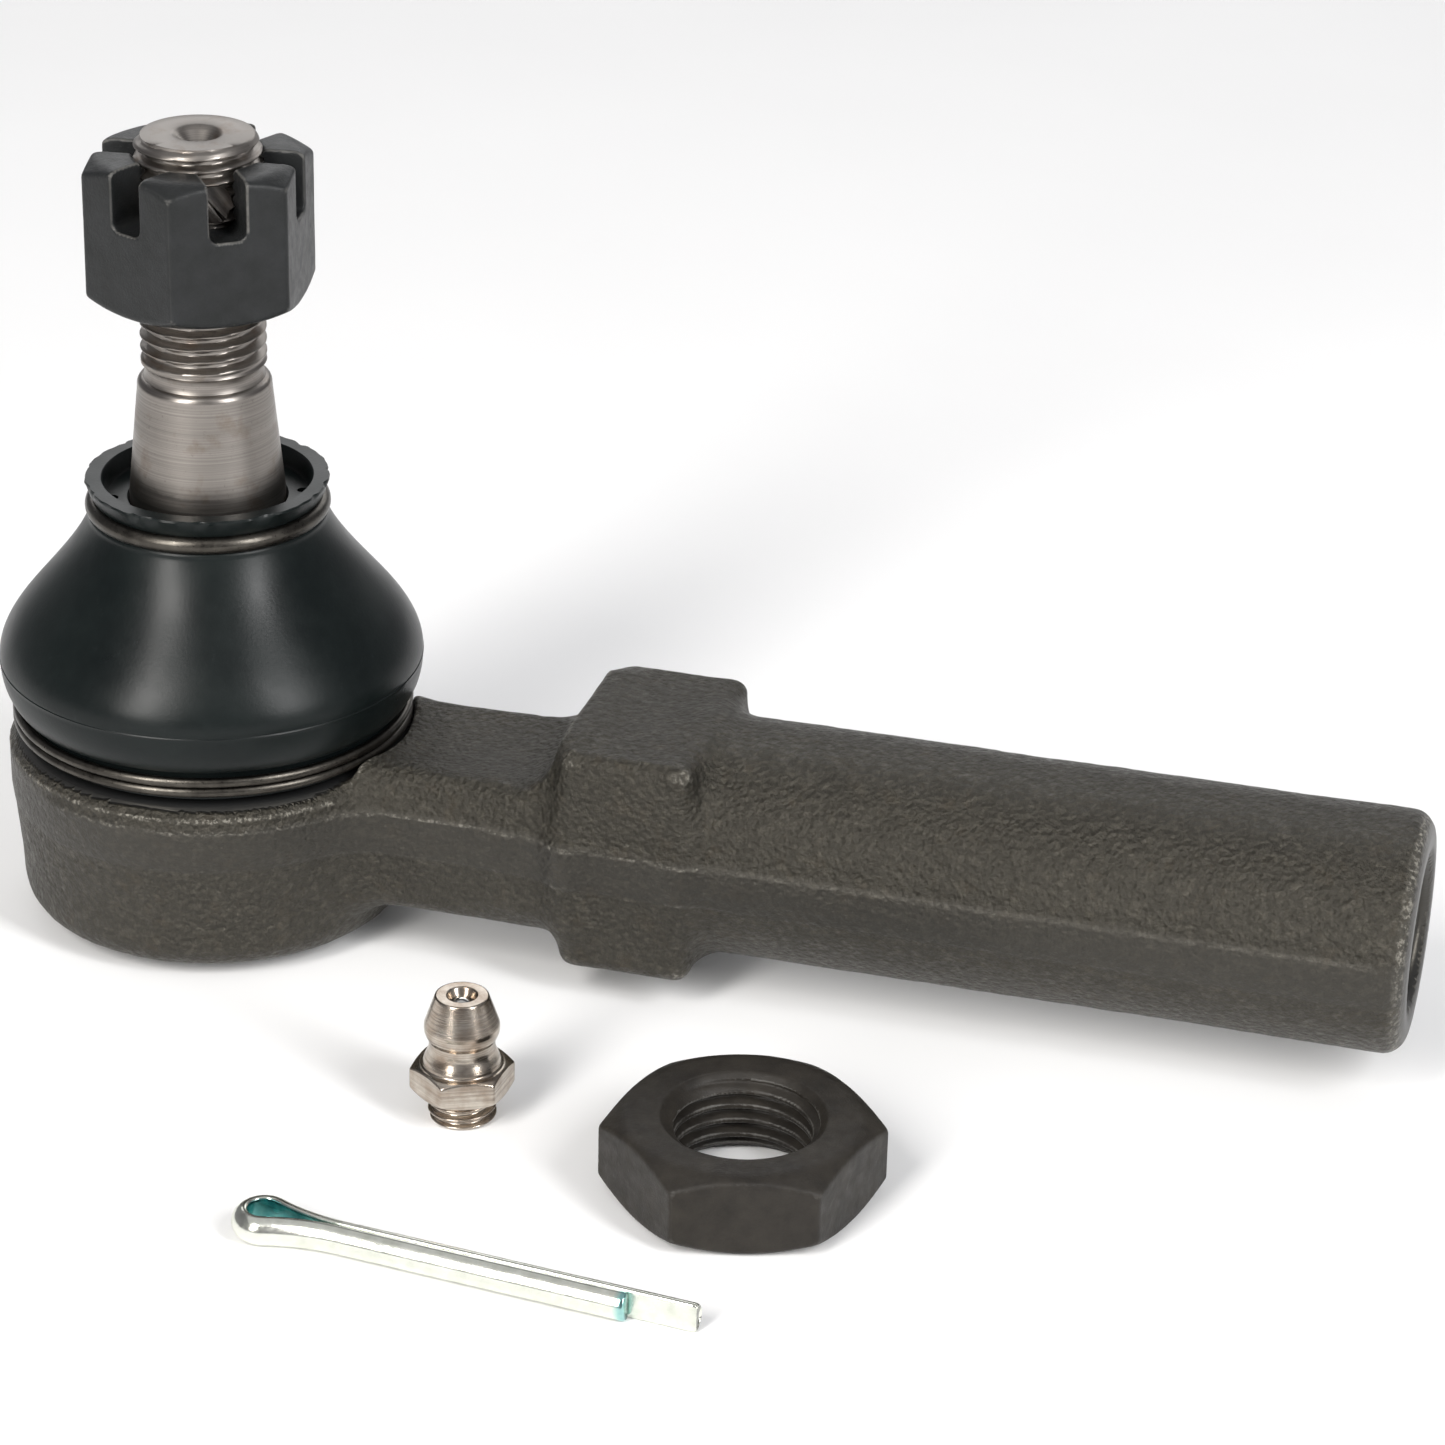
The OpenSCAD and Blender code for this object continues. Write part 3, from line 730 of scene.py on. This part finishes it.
def make_stud():
    turns = 128
    ball_r, flat_z, neck_r = 10.5, -9.6, 5.6
    root_r = STUD_THREAD_R - 0.35
    thread_start = TAPER_END + 1.85
    flat_r = math.sqrt(ball_r**2 - flat_z**2)
    start = math.degrees(math.atan2(flat_z, flat_r))
    end = math.degrees(math.acos(neck_r / ball_r))
    profile = [(0.6, flat_z)]
    profile += arc_points(0, 0, ball_r, start, end, 40)
    profile += [(neck_r, 11), (neck_r, 13.4)]
    profile += [(neck_r + 0.1, 14), (TAPER_R - 0.15, 18), (TAPER_R, 18.6)]
    profile += [(TAPER_R, z) for z in np.linspace(19.5, TAPER_START, 6)]
    taper_end_r = TAPER_R - (TAPER_END - TAPER_START) / 10
    profile += [(TAPER_R - (z - TAPER_START) / 10, z)
                for z in np.linspace(TAPER_START, TAPER_END - 0.7, 12)]
    profile += arc_points(taper_end_r - 0.75, TAPER_END - 0.5, 0.82, 5, 75, 7)
    profile += [(root_r + 0.05, TAPER_END + 0.55), (root_r, TAPER_END + 0.9), (root_r, thread_start - 0.4)]
    step = STUD_PITCH / 12
    thread_rows = np.arange(thread_start, STUD_TOP - 0.02, step)
    profile += [(STUD_THREAD_R, z) for z in thread_rows]
    rim = STUD_THREAD_R - 0.7
    profile += [(rim - 0.12, STUD_TOP), (4, STUD_TOP), (2.6, STUD_TOP - 0.02), (2.25, STUD_TOP - 0.12)]
    profile += [(1.9, STUD_TOP - 0.5), (1.3, STUD_TOP - 1.1), (0.5, STUD_TOP - 1.7)]

    def radius_at(r, z, a):
        cut = thread_depth(z, a, STUD_PITCH)
        cut = cut * smooth_step(thread_start - 0.1, thread_start + 1.1, z)
        threaded = np.where(r == STUD_THREAD_R, r - cut, r)
        tip = rim + (STUD_TOP - z) * 0.75
        return np.where(r == STUD_THREAD_R, np.minimum(threaded, tip), threaded)

    points, faces = lathe(profile, turns, radius_at)
    points, faces = close_poles(points, faces, turns)
    stud = new_piece("ball_stud_turned", points, faces, TURNED, "stud", ["ball_stud"], "machined_steel")
    turn = (0, math.pi / 2, COTTER_HOLE_ANGLE)
    drill(stud, "cotter_hole_cutter", COTTER_HOLE_R, 16, (0, 0, COTTER_HOLE_Z), turn)


def drill(piece, name, radius, length, centre, turn):
    """Cuts a round hole with an exact boolean and applies it."""
    points, faces = lathe([(radius, -length / 2), (radius, length / 2)], 40)
    points, faces = close_poles(points, faces, 40)
    rotation = np.array(Matrix.Rotation(turn[2], 3, "Z") @ Matrix.Rotation(turn[1], 3, "Y"))
    cutter = new_piece(name, points @ rotation.T + np.array(centre), faces, TURNED, None)
    modifier = piece.modifiers.new("hole", "BOOLEAN")
    modifier.object = cutter
    modifier.operation = "DIFFERENCE"
    modifier.solver = "EXACT"
    bpy.context.view_layer.update()
    graph = bpy.context.evaluated_depsgraph_get()
    mesh = bpy.data.meshes.new_from_object(piece.evaluated_get(graph))
    mesh.set_sharp_from_angle(angle=math.radians(42))
    piece.modifiers.clear()
    piece.data = mesh
    bpy.data.objects.remove(cutter)


def boot_outline():
    """The boot's section, anticlockwise from the inner foot of its bead."""
    bead_r = BOSS_R + 0.05
    groove_r = BEAD_HIGH[0] - 1.05
    wide_z = 12.0
    wide_r = box_mm("dust_boot")[1][0]
    lip = BOOT_TOP
    inner_r = wide_r - 1.9
    outline = [(bead_r, 4.62), (groove_r - 0.2, 4.62), (groove_r, 4.8), (groove_r, 7.3)]
    outline += arc_points(groove_r + 0.45, 7.42, 0.45, 180, 100, 5)
    outline += cubic_points((19.3, 7.9), (wide_r - 0.5, 8.8), (wide_r, 10.2), (wide_r, wide_z - 0.1), 16)
    outline += [(wide_r + 0.05, wide_z), (wide_r - 0.02, wide_z + 0.1)]
    outline += cubic_points((wide_r, wide_z + 0.2), (wide_r, 13.6), (wide_r - 0.7, 14.9), (19, 16.2), 16)
    outline += cubic_points((18.9, 16.34), (17, 19), (12.9, 23), (11.55, 26.6), 36)
    outline += arc_points(11.1, 26.62, 0.45, 5, 85, 5)
    outline += [(10.3, 27.05), (10.2, 27.3), (10.2, 28.2), (10.35, 28.45)]
    outline += [(11.0, 28.6), (11.35, 29.2), (11.6, 29.95), (11.64, 30.2), (11.55, lip), (10.2, lip)]
    outline += [(10.05, lip - 0.15), (9.95, lip - 1.7), (9.75, lip - 2.0), (8.6, lip - 2.05)]
    outline += [(7.75, lip - 2.05), (7.56, lip - 2.25), (7.56, 24.6)]
    outline += cubic_points((9.6, 24.2), (11.2, 21.5), (15.3, 16.9), (inner_r, wide_z - 0.5), 16)
    inner_bulge = (inner_r + 0.05, wide_z - 0.8)
    outline += cubic_points(inner_bulge, (inner_r + 0.3, 11), (inner_r, 9.8), (17.7, 9), 8)
    outline += [(bead_r, 8.5)]
    return outline


def make_boot():
    turns = 224

    def radius_at(r, z, a):
        """The lip's edge is a little ragged, as moulding flash leaves it."""
        rim = smooth_step(BOOT_TOP - 0.5, BOOT_TOP - 0.1, z) * (r > 11)
        sway = np.sin(5 * a + 1) + 0.8 * np.sin(17 * a) + 0.7 * np.sin(41 * a + 2)
        dents = np.maximum(0, np.sin(7 * a + 0.6)) ** 12 + np.maximum(0, np.sin(11 * a + 3)) ** 16
        return r - rim * (0.05 * sway + 0.22 * dents - 0.1)

    outline = boot_outline()
    points, faces = lathe(outline, turns, radius_at, closed=True)
    boot = new_piece("rubber_boot", points, faces, RUBBER, None, (), "boot_rubber")
    for k in range(4):
        angle = math.radians(24 + 90 * k)
        centre = (9.1 * math.cos(angle), 9.1 * math.sin(angle), BOOT_TOP - 2.3)
        drill(boot, "vent_cutter", 0.55, 2.4, centre, (0, 0, 0))
    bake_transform(boot)
    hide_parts("dust_boot")


def sweep(rings):
    """Joins (n, m, 3) sections into a tube that is capped at both ends."""
    count, sides = rings.shape[:2]
    faces = []
    for i in range(count - 1):
        j = i + 1
        for k in range(sides):
            m = (k + 1) % sides
            faces.append((i * sides + k, i * sides + m, j * sides + m, j * sides + k))
    faces.append(tuple(range(sides)))
    faces.append(tuple(range((count - 1) * sides, count * sides)))
    return rings.reshape(-1, 3), faces


def wire_round_z(angles, ring_r, heights, wire_r, sides=20):
    """Sections of a round wire that runs round the Z axis."""
    turn = np.linspace(0, 2 * math.pi, sides, endpoint=False)
    r = ring_r + wire_r[:, None] * np.cos(turn)
    z = heights[:, None] + wire_r[:, None] * np.sin(turn)
    a = angles[:, None]
    return np.stack([r * np.cos(a), r * np.sin(a), z], -1)


def make_upper_ring():
    """The boot's upper ring: round wire with its two ends meeting at the back."""
    wire = (RING_HIGH[2] - RING_LOW[2]) / 2 + 0.1
    gap = math.radians(0.9)
    angles = math.radians(105) + np.linspace(gap, 2 * math.pi - gap, 260)
    heights = np.full(len(angles), (RING_HIGH[2] + RING_LOW[2]) / 2)
    radii = np.full(len(angles), wire)
    radii[[0, -1]] = 0.8 * wire
    rings = wire_round_z(angles, RING_HIGH[0] - wire, heights, radii, 28)
    points, faces = sweep(rings)
    new_piece("upper_ring_wire", points, faces, RING_STEEL, "boot_neck", ["boot_upper_ring"], "ring_steel")


def make_lower_ring():
    """The boot's lower ring: a wire of nearly two turns that steps up at the back."""
    wire = 0.5
    low, high = BEAD_LOW[2] + wire + 0.02, BEAD_HIGH[2] - wire - 0.02
    turn = np.linspace(0, math.radians(668), 560)
    heights = low + (high - low) * smooth_step(math.radians(325), math.radians(362), turn)
    radii = np.full(len(turn), wire)
    radii[[0, -1]] = 0.75 * wire
    rings = wire_round_z(turn + math.radians(92), BEAD_HIGH[0] - wire, heights, radii)
    points, faces = sweep(rings)
    new_piece("lower_ring_wire", points, faces, RING_STEEL, "housing_body", ["boot_lower_ring"],
              "ring_steel")


def make_cover():
    """The pressed plate under the ball, with the grease fitting's threaded port."""
    outer, low, high = COVER_HIGH[0], COVER_LOW[2], COVER_HIGH[2]
    plate_top = low + COVER_THICKNESS
    edge = [(outer - 0.4, low), (outer, low + 0.4), (outer, plate_top - 0.4), (outer - 0.4, plate_top)]
    boss = [(4.9, plate_top), (4.6, plate_top + 0.25), (4.6, high - 0.2), (4.4, high), (3.7, high)]
    rows = np.arange(high - 0.35, low + 0.4, -FITTING_PITCH / 8)
    port_r = 3.24
    port = [(port_r, z) for z in rows]
    outside = [(3.75, low), (6, low), (8.2, low), (8.8, low + 0.25), (11.2, low + 0.25), (11.7, low)]

    def radius_at(r, z, a):
        ridge = np.clip(0.46 - thread_depth(z, a, FITTING_PITCH), 0, 0.45)
        return np.where(r == port_r, r - ridge, r)

    turns = 96
    points, faces = lathe(edge + boss + port + outside, turns, radius_at, closed=True)
    new_piece("cover_pressing", points, faces, COVER_STEEL, "housing_body", ["cover_plate"], "plate_steel")


# ---------------------------------------------------------------- nuts and loose hardware


def hexagon_field(x, y, z, flats, low, high, rims, angle, soft):
    """A hexagon with its corners chamfered at 30 degrees down to a round rim at each end."""
    around = np.hypot(x, y)
    body = low - z
    for k in range(6):
        normal = angle + math.pi / 6 + k * math.pi / 3
        side = x * math.cos(normal) + y * math.sin(normal) - flats / 2
        body = smooth_max(body, side, soft)
    body = smooth_max(body, z - high, soft)
    body = smooth_max(body, (around - rims[0]) * 0.5 - (z - low) * 0.866, soft)
    return smooth_max(body, (around - rims[1]) * 0.5 - (high - z) * 0.866, soft)


def nut_thread_field(x, y, z, pitch, major, minor, ends, entry):
    """The space inside a nut: its thread, and a chamfer of depth entry at each end."""
    around = np.hypot(x, y)
    thread = np.maximum(major - thread_depth(z, np.arctan2(y, x), pitch), minor)
    for low_or_high, depth in zip(ends, entry):
        thread = np.maximum(thread, major + depth - np.abs(z - low_or_high))
    return (around - thread) * 0.75


def nut_skin(depth, seed):
    def displace(p):
        return depth * (noise(p, 4.0, seed) + 0.5 * noise(p, 1.4, seed + 1)) - depth
    return displace


def make_castle_nut():
    low, high = CASTLE_LOW[2], CASTLE_HIGH[2]
    slot_half, slot_depth = 1.75, 5.7

    def field(x, y, z):
        rims = (CASTLE_AF / 2 - 0.4, CASTLE_AF / 2 - 0.4)
        body = hexagon_field(x, y, z, CASTLE_AF, low, high, rims, NUT_CORNER_ANGLE, 0.35)
        for k in range(3):
            angle = SLOT_ANGLE + k * math.pi / 3
            across = np.abs(y * math.cos(angle) - x * math.sin(angle)) - slot_half
            slot = smooth_max(across, high - slot_depth - z, 1.1)
            body = smooth_max(body, -slot, 0.28)
        gap = 0.06
        bore = nut_thread_field(x, y, z, STUD_PITCH, STUD_THREAD_R + gap, STUD_THREAD_R - 0.6,
                                (low, high), (0.6, 0.25))
        return smooth_max(body, -bore, 0.12)

    step = 0.19
    field_piece("castle_nut_forged", field, CASTLE_LOW - 0.4, CASTLE_HIGH + 0.4, step, CASTLE_STEEL,
                "nut", nut_skin(0.015, 11), replaces=["castle_nut"], slot="nut_black_oxide")


def make_jam_nut():
    low, high = JAM_LOW[2], JAM_HIGH[2]
    cx, cy = (JAM_LOW[:2] + JAM_HIGH[:2]) / 2

    def field(x, y, z):
        rims = (JAM_AF / 2 - 0.7, JAM_AF / 2 - 0.7)
        body = hexagon_field(x - cx, y - cy, z, JAM_AF, low, high, rims, JAM_ANGLE, 0.35)
        bore = nut_thread_field(x - cx, y - cy, z, ROD_PITCH, ROD_HOLE_R, ROD_HOLE_R - 0.86,
                                (low, high), (0.5, 0.5))
        return smooth_max(body, -bore, 0.15)

    step = 0.2
    field_piece("jam_nut_forged", field, JAM_LOW - 0.4, JAM_HIGH + 0.4, step, JAM_STEEL,
                "locknut", nut_skin(0.018, 21), replaces=["jam_nut"], slot="jam_nut_steel")


def make_fitting():
    cx, cy = (FITTING_LOW[:2] + FITTING_HIGH[:2]) / 2
    base, top = FITTING_LOW[2], FITTING_HIGH[2] - FITTING_LOW[2]
    hex_low, hex_high, thread_r = 2.9, 5.7, 3.175
    outside = [(-6, 0), (2.8, 0), (thread_r, 0.4), (thread_r, 2.5), (2.75, 2.65), (2.75, hex_low)]
    outside += [(3.5, hex_low), (3.65, hex_high)]
    outside += cubic_points((3.6, 6.0), (3.35, 6.7), (3.05, 7.1), (3.05, 7.7), 8)
    outside += [(3.08, 8.2), (3.3, 8.6), (3.47, 9.1), (3.5, 9.4), (3.47, 9.8), (2.55, top - 0.25)]
    outside += [(2.45, top), (-6, top)]
    seat = top - 1.5
    inside = [(-6, -1), (0.8, -1), (0.8, 4.2), (1.5, 4.2), (1.5, seat), (1.0, seat + 0.7), (1.4, top)]
    inside += [(1.4, top + 1), (-6, top + 1)]

    def field(x, y, z):
        u, v, h = x - cx, y - cy, z - base
        around = np.hypot(u, v)
        thread = thread_r - 0.9 * thread_depth(h, np.arctan2(v, u), FITTING_PITCH)
        body = polygon_field(outside, around, h)
        body = np.maximum(body, np.where(h < 2.7, (around - thread) * 0.75, -9))
        rims = (FITTING_AF / 2 - 0.1, FITTING_AF / 2 - 0.1)
        hexagon = hexagon_field(u, v, h, FITTING_AF, hex_low, hex_high, rims, FITTING_ANGLE, 0.16)
        body = smooth_min(body, hexagon, 0.2)
        return smooth_max(body, -polygon_field(inside, around, h), 0.08)

    step = 0.1
    field_piece("fitting_body_plated", field, FITTING_LOW - 0.2, FITTING_HIGH + 0.2, step, NICKEL,
                "fitting", nut_skin(0.003, 31), replaces=["grease_fitting_body"], slot="bright_nickel")


def make_check_spring():
    """The coil spring that holds the fitting's check ball shut."""
    low, high = box_mm("grease_check_spring")
    wire = 0.17
    turn = np.linspace(0, 2 * math.pi * 6, 260)
    heights = np.linspace(low[2] + wire, high[2] - wire, len(turn))
    ring_r = (high[0] - low[0]) / 2 - wire
    rings = wire_round_z(turn, ring_r, heights, np.full(len(turn), wire), 10)
    axis = (FITTING_LOW + FITTING_HIGH) / 2 * (1, 1, 0)
    points, faces = sweep(rings + axis)
    new_piece("check_spring_coil", points, faces, SPRING_STEEL, "fitting", ["grease_check_spring"],
              "spring_steel")


def make_check_ball():
    """The small ball in the fitting's mouth."""
    low, high = box_mm("grease_check_ball")
    profile = arc_points(0, 0, (high[2] - low[2]) / 2, -86, 86, 40)
    points, faces = close_poles(*lathe(profile, 48), 48)
    points = points + (low + high) / 2
    new_piece("check_ball_polished", points, faces, BALL_STEEL, "check_ball", ["grease_check_ball"],
              "ball_steel")


def cotter_leg_path(length, wire, rows):
    """(position, outward direction) along the wire's flat face, from the tip to the eye's end."""
    eye_r, eye_x, bend_r, flat_y = wire, 2 * wire, 20.0, 0.08
    bend_x = eye_x + math.sqrt((eye_r + bend_r) ** 2 - (flat_y + bend_r) ** 2)
    bend_a = math.atan2(flat_y + bend_r, bend_x - eye_x)
    path = []
    for x in np.concatenate([[length, length - 0.12, length - 0.4], np.linspace(length - 1, bend_x, rows)]):
        path.append(((x, flat_y), (0, 1)))
    for a in np.linspace(1.5 * math.pi, math.pi + bend_a, rows)[1:]:
        centre = (bend_x, flat_y + bend_r)
        out = (-math.cos(a), -math.sin(a))
        path.append(((centre[0] - bend_r * out[0], centre[1] - bend_r * out[1]), out))
    for a in np.linspace(bend_a, math.pi, rows)[1:]:
        out = (math.cos(a), math.sin(a))
        path.append(((eye_x + eye_r * out[0], eye_r * out[1]), out))
    return path


def make_cotter_pin():
    """Half-round wire folded into an eye, with its flat sides together and one leg longer."""
    wire = (PIN_HIGH[2] - PIN_LOW[2]) / 2
    rows = 24
    far = cotter_leg_path(COTTER_LONG_LEG, wire, rows)
    near = cotter_leg_path(COTTER_SHORT_LEG, wire, rows)
    near = [((x, -y), (ox, -oy)) for (x, y), (ox, oy) in near]
    path = far + near[::-1][1:]
    flat = [(0.0, z) for z in np.linspace(-0.86, 0.86, 9)]
    corner = [(0.05, 0.94), (0.16, 0.975)]
    arc = [(math.cos(a), math.sin(a)) for a in np.radians(np.linspace(74, -74, 25))]
    section = np.array(flat + corner + arc + [(u, -z) for u, z in corner[::-1]]) * wire
    scale = np.ones(len(path))
    scale[[0, 1, -2, -1]] = (0.86, 0.96, 0.96, 0.86)
    rings = np.zeros((len(path), len(section), 3))
    for i, ((x, y), (ox, oy)) in enumerate(path):
        centre = 0.42 * wire
        u = centre + (section[:, 0] - centre) * scale[i]
        rings[i] = np.stack([x + ox * u, y + oy * u, section[:, 1] * scale[i]], -1)
    inner = np.zeros((len(path), len(section)))
    in_eye = [smooth_step(12, 4, x) for (x, _), _ in path]
    inner[:, : len(flat)] = np.array(in_eye)[:, None]
    inner[-3:] = 0.8
    points, faces = sweep(rings)
    turn = Matrix.Rotation(COTTER_ANGLE, 3, "Z")
    points = points @ np.array(turn).T + np.array([*COTTER_PLACE, (PIN_LOW[2] + PIN_HIGH[2]) / 2])
    new_piece("cotter_pin_wire", points, faces, ZINC, "pin", ["cotter_pin"], "bright_zinc",
              inner_face=inner.ravel())


def finish_hidden_pieces():
    """The bearings and the preload spring keep their CAD shape, because the joint hides them."""
    for name, material, slot in (
        ("upper_bearing", ACETAL, "bearing_polymer"),
        ("lower_bearing", ACETAL, "bearing_polymer"),
        ("preload_spring", SPRING_STEEL, "spring_steel"),
    ):
        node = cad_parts[name]
        node.data.materials.clear()
        node.data.materials.append(material)


make_housing()
make_rod_thread()
make_stud()
make_boot()
make_upper_ring()
make_lower_ring()
make_cover()
make_castle_nut()
make_jam_nut()
make_fitting()
make_check_spring()
make_check_ball()
make_cotter_pin()
finish_hidden_pieces()


# ---------------------------------------------------------------- stage, light and camera

CAMERA_AZIMUTH = math.radians(14.723)
CAMERA_ELEVATION = math.radians(26.122)
CAMERA_ROLL = math.radians(1.457)
CAMERA_DISTANCE = 448.981


def make_floor():
    n = Nodes("white_floor")
    cloud = n.noise(60, 2)
    white = n.ramp(cloud, (0.0, 0.90), (1.0, 0.94))
    rough = n.ramp(cloud, (0.0, 0.75), (1.0, 0.85))
    material = n.finish(white, rough)
    mesh = bpy.data.meshes.new("floor")
    half = 1.2
    square = ((-half, -half), (half, -half), (half, half), (-half, half))
    corners = [(x, y, FLOOR_Z * MM) for x, y in square]
    mesh.from_pydata(corners, [], [(0, 1, 2, 3)])
    mesh.materials.append(material)
    floor = bpy.data.objects.new("floor", mesh)
    bpy.context.scene.collection.objects.link(floor)


def make_world():
    world = bpy.data.worlds.new("studio")
    bpy.context.scene.world = world
    world.use_nodes = True
    tree = world.node_tree
    background = tree.nodes["Background"]
    coords = tree.nodes.new("ShaderNodeTexCoord")
    split = tree.nodes.new("ShaderNodeSeparateXYZ")
    ramp = tree.nodes.new("ShaderNodeValToRGB")
    ramp.color_ramp.elements[0].position = 0.0
    ramp.color_ramp.elements[0].color = (0.26, 0.26, 0.27, 1)
    ramp.color_ramp.elements[1].position = 1.0
    ramp.color_ramp.elements[1].color = (0.12, 0.12, 0.13, 1)
    tree.links.new(coords.outputs["Generated"], split.inputs[0])
    tree.links.new(split.outputs["Z"], ramp.inputs["Fac"])
    tree.links.new(ramp.outputs["Color"], background.inputs["Color"])
    background.inputs["Strength"].default_value = 1.0


def softbox(name, azimuth, elevation, distance, width, height, radiance, tint=(1, 1, 1)):
    """A rectangular light that faces the object. Azimuth 0 is in front, at -Y, and 90 at +X."""
    light = bpy.data.lights.new(name, "AREA")
    light.shape = "RECTANGLE"
    light.size, light.size_y = width, height
    light.energy = radiance * math.pi * width * height
    light.color = tint
    lamp = bpy.data.objects.new(name, light)
    a, e = math.radians(azimuth), math.radians(elevation)
    toward = Vector((math.sin(a) * math.cos(e), -math.cos(a) * math.cos(e), math.sin(e)))
    lamp.location = Vector((0.05, 0, 0.01)) + toward * distance
    lamp.rotation_euler = toward.to_track_quat("Z", "Y").to_euler()
    bpy.context.scene.collection.objects.link(lamp)


def make_camera():
    a, e, roll = CAMERA_AZIMUTH, CAMERA_ELEVATION, CAMERA_ROLL
    right = Vector((math.cos(a), math.sin(a), 0))
    back = Vector((math.sin(a) * math.cos(e), -math.cos(a) * math.cos(e), math.sin(e)))
    up = back.cross(right)
    target = right * 50.109 + up * 4.668
    rolled_right = math.cos(roll) * right + math.sin(roll) * up
    rolled_up = -math.sin(roll) * right + math.cos(roll) * up
    data = bpy.data.cameras.new("camera")
    data.sensor_width = 36
    data.lens = 112.873
    camera = bpy.data.objects.new("camera", data)
    axes = Matrix((rolled_right, rolled_up, back)).transposed()
    place = (target + back * CAMERA_DISTANCE) * MM
    camera.matrix_world = Matrix.Translation(place) @ axes.to_4x4()
    bpy.context.scene.collection.objects.link(camera)
    bpy.context.scene.camera = camera


make_floor()
make_world()
softbox("key_left", -20, 32, 0.85, 0.20, 0.60, 19.0, (1.0, 0.98, 0.95))
softbox("key_right", 62, 32, 0.90, 0.18, 0.60, 19.0)
softbox("overhead", 0, 84, 0.85, 1.3, 1.0, 0.45)
softbox("backdrop", 192, 27, 1.10, 1.3, 0.45, 1.9)
make_camera()
bpy.context.scene.view_settings.view_transform = "Standard"
